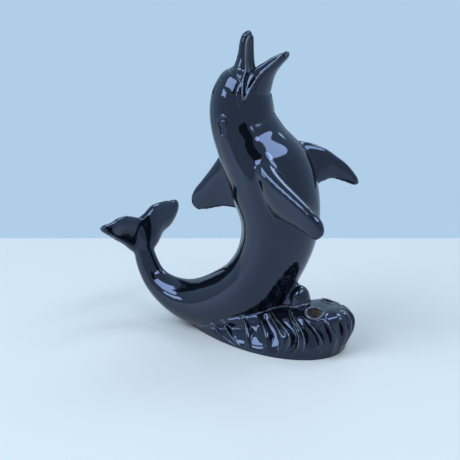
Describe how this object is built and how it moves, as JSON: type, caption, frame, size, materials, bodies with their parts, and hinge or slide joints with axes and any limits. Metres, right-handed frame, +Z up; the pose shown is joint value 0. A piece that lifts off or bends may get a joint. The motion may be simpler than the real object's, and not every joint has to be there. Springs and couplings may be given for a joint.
{
  "type": "ceramic dolphin figurine",
  "caption": "Glossy black ceramic dolphin leaping out of a fluted wave that is its base, with small round holes in the wave's top.",
  "frame": {"origin": "centre of the wave's flat underside, halfway along its length and on the dolphin's mid-plane", "axes": "+X from the tail to the belly, along the wave from its tip to its head; +Y to the dolphin's far side in the picture; +Z up, along the rising body"},
  "size_m": [0.1261, 0.0594, 0.1527],
  "materials": {
    "black_glaze": "high-gloss black glaze"
  },
  "bodies": {
    "root": {"dolphin_figurine": "black_glaze"}
  },
  "joints": []
}
